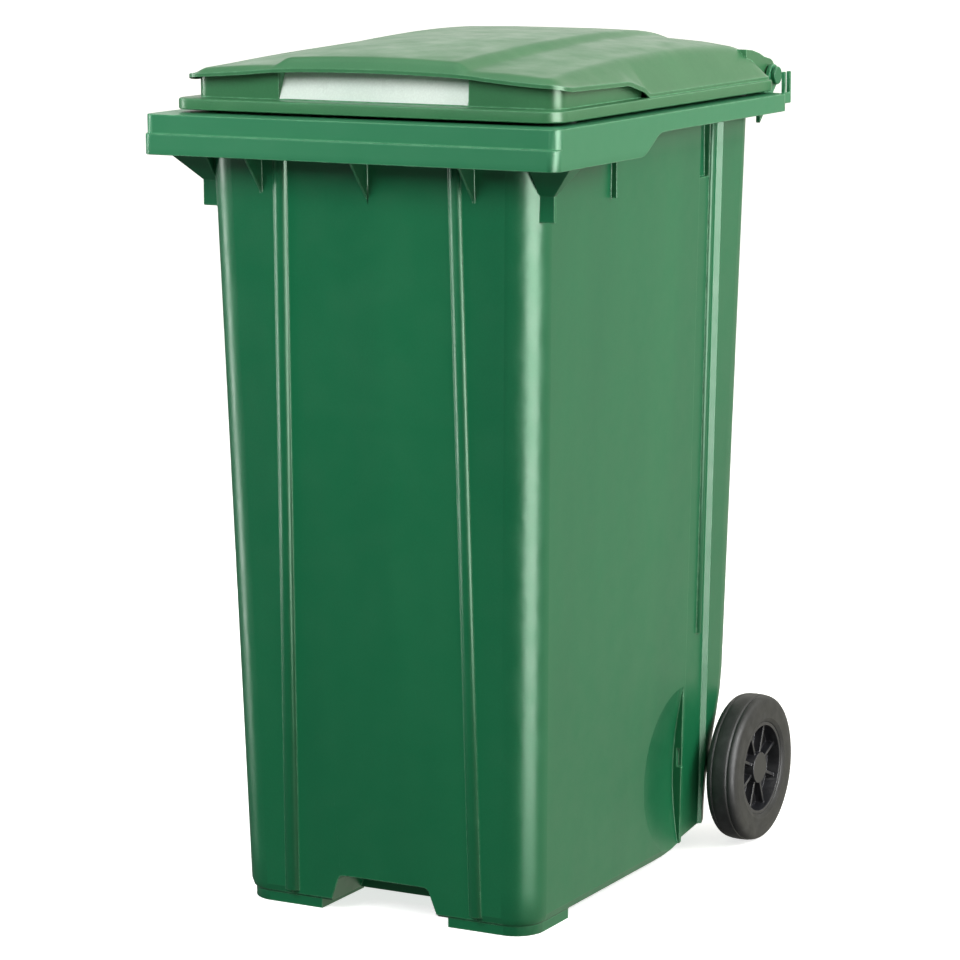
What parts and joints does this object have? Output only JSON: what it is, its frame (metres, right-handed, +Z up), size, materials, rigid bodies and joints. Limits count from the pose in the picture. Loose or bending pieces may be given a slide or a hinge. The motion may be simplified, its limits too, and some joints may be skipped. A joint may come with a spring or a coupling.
{
  "type": "wheeled litter bin",
  "caption": "Tall two-wheeled refuse bin with a tapered moulded tub, comb rim, hinged lid with a front grip, rear handles, steel axle and rubber-tyred wheels.",
  "frame": {"origin": "on the ground under the middle of the overall width and depth", "axes": "+Z up, the comb and lid grip face -Y, the wheels and handles are at +Y, +X is to the right seen from the front"},
  "size_m": [0.58, 0.75, 1.1053],
  "materials": {
    "tub_plastic": "glossy moulded green polyethylene",
    "lid_plastic": "glossy moulded green polyethylene",
    "pin_plastic": "dark green nylon",
    "axle_steel": "zinc-plated steel",
    "lock_steel": "bright steel",
    "spring_steel": "drawn spring wire",
    "tyre_rubber": "solid black rubber",
    "hub_plastic": "dark grey polypropylene with a slight sheen",
    "spacer_plastic": "black polyethylene",
    "buffer_rubber": "soft black rubber"
  },
  "bodies": {
    "bin_tub": {"tub": "tub_plastic", "axle": "axle_steel", "hinge_pin_left": "pin_plastic", "hinge_pin_right": "pin_plastic", "axle_spacer_left": "spacer_plastic", "axle_spacer_right": "spacer_plastic"},
    "bin_lid": {"lid": "lid_plastic", "lid_buffer_front_left": "buffer_rubber", "lid_buffer_rear_left": "buffer_rubber", "lid_buffer_front_right": "buffer_rubber", "lid_buffer_rear_right": "buffer_rubber"},
    "wheel_left": {"tyre_left": "tyre_rubber", "wheel_hub_left": "hub_plastic", "lock_spring_left": "spring_steel"},
    "wheel_lock_left": {"lock_pin_left": "lock_steel"},
    "wheel_right": {"tyre_right": "tyre_rubber", "wheel_hub_right": "hub_plastic", "lock_spring_right": "spring_steel"},
    "wheel_lock_right": {"lock_pin_right": "lock_steel"}
  },
  "joints": [
    {"name": "lid_hinge", "type": "hinge", "parent": "bin_tub", "child": "bin_lid", "pos_m": [0, 0.337, 1.036], "axis": [-1, 0, 0], "range_deg": [0, 255]},
    {"name": "wheel_left_spin", "type": "hinge", "parent": "bin_tub", "child": "wheel_left", "pos_m": [-0.25, 0.275, 0.1], "axis": [1, 0, 0], "continuous": true},
    {"name": "wheel_lock_left_slide", "type": "slide", "parent": "wheel_left", "child": "wheel_lock_left", "axis": [0, 0, 1], "range_m": [0, 0.004], "stiffness_N_per_m": 600, "springref_m": -0.004, "deforming": ["lock_spring_left"]},
    {"name": "wheel_right_spin", "type": "hinge", "parent": "bin_tub", "child": "wheel_right", "pos_m": [0.25, 0.275, 0.1], "axis": [1, 0, 0], "continuous": true},
    {"name": "wheel_lock_right_slide", "type": "slide", "parent": "wheel_right", "child": "wheel_lock_right", "axis": [0, 0, 1], "range_m": [0, 0.004], "stiffness_N_per_m": 600, "springref_m": -0.004, "deforming": ["lock_spring_right"]}
  ]
}
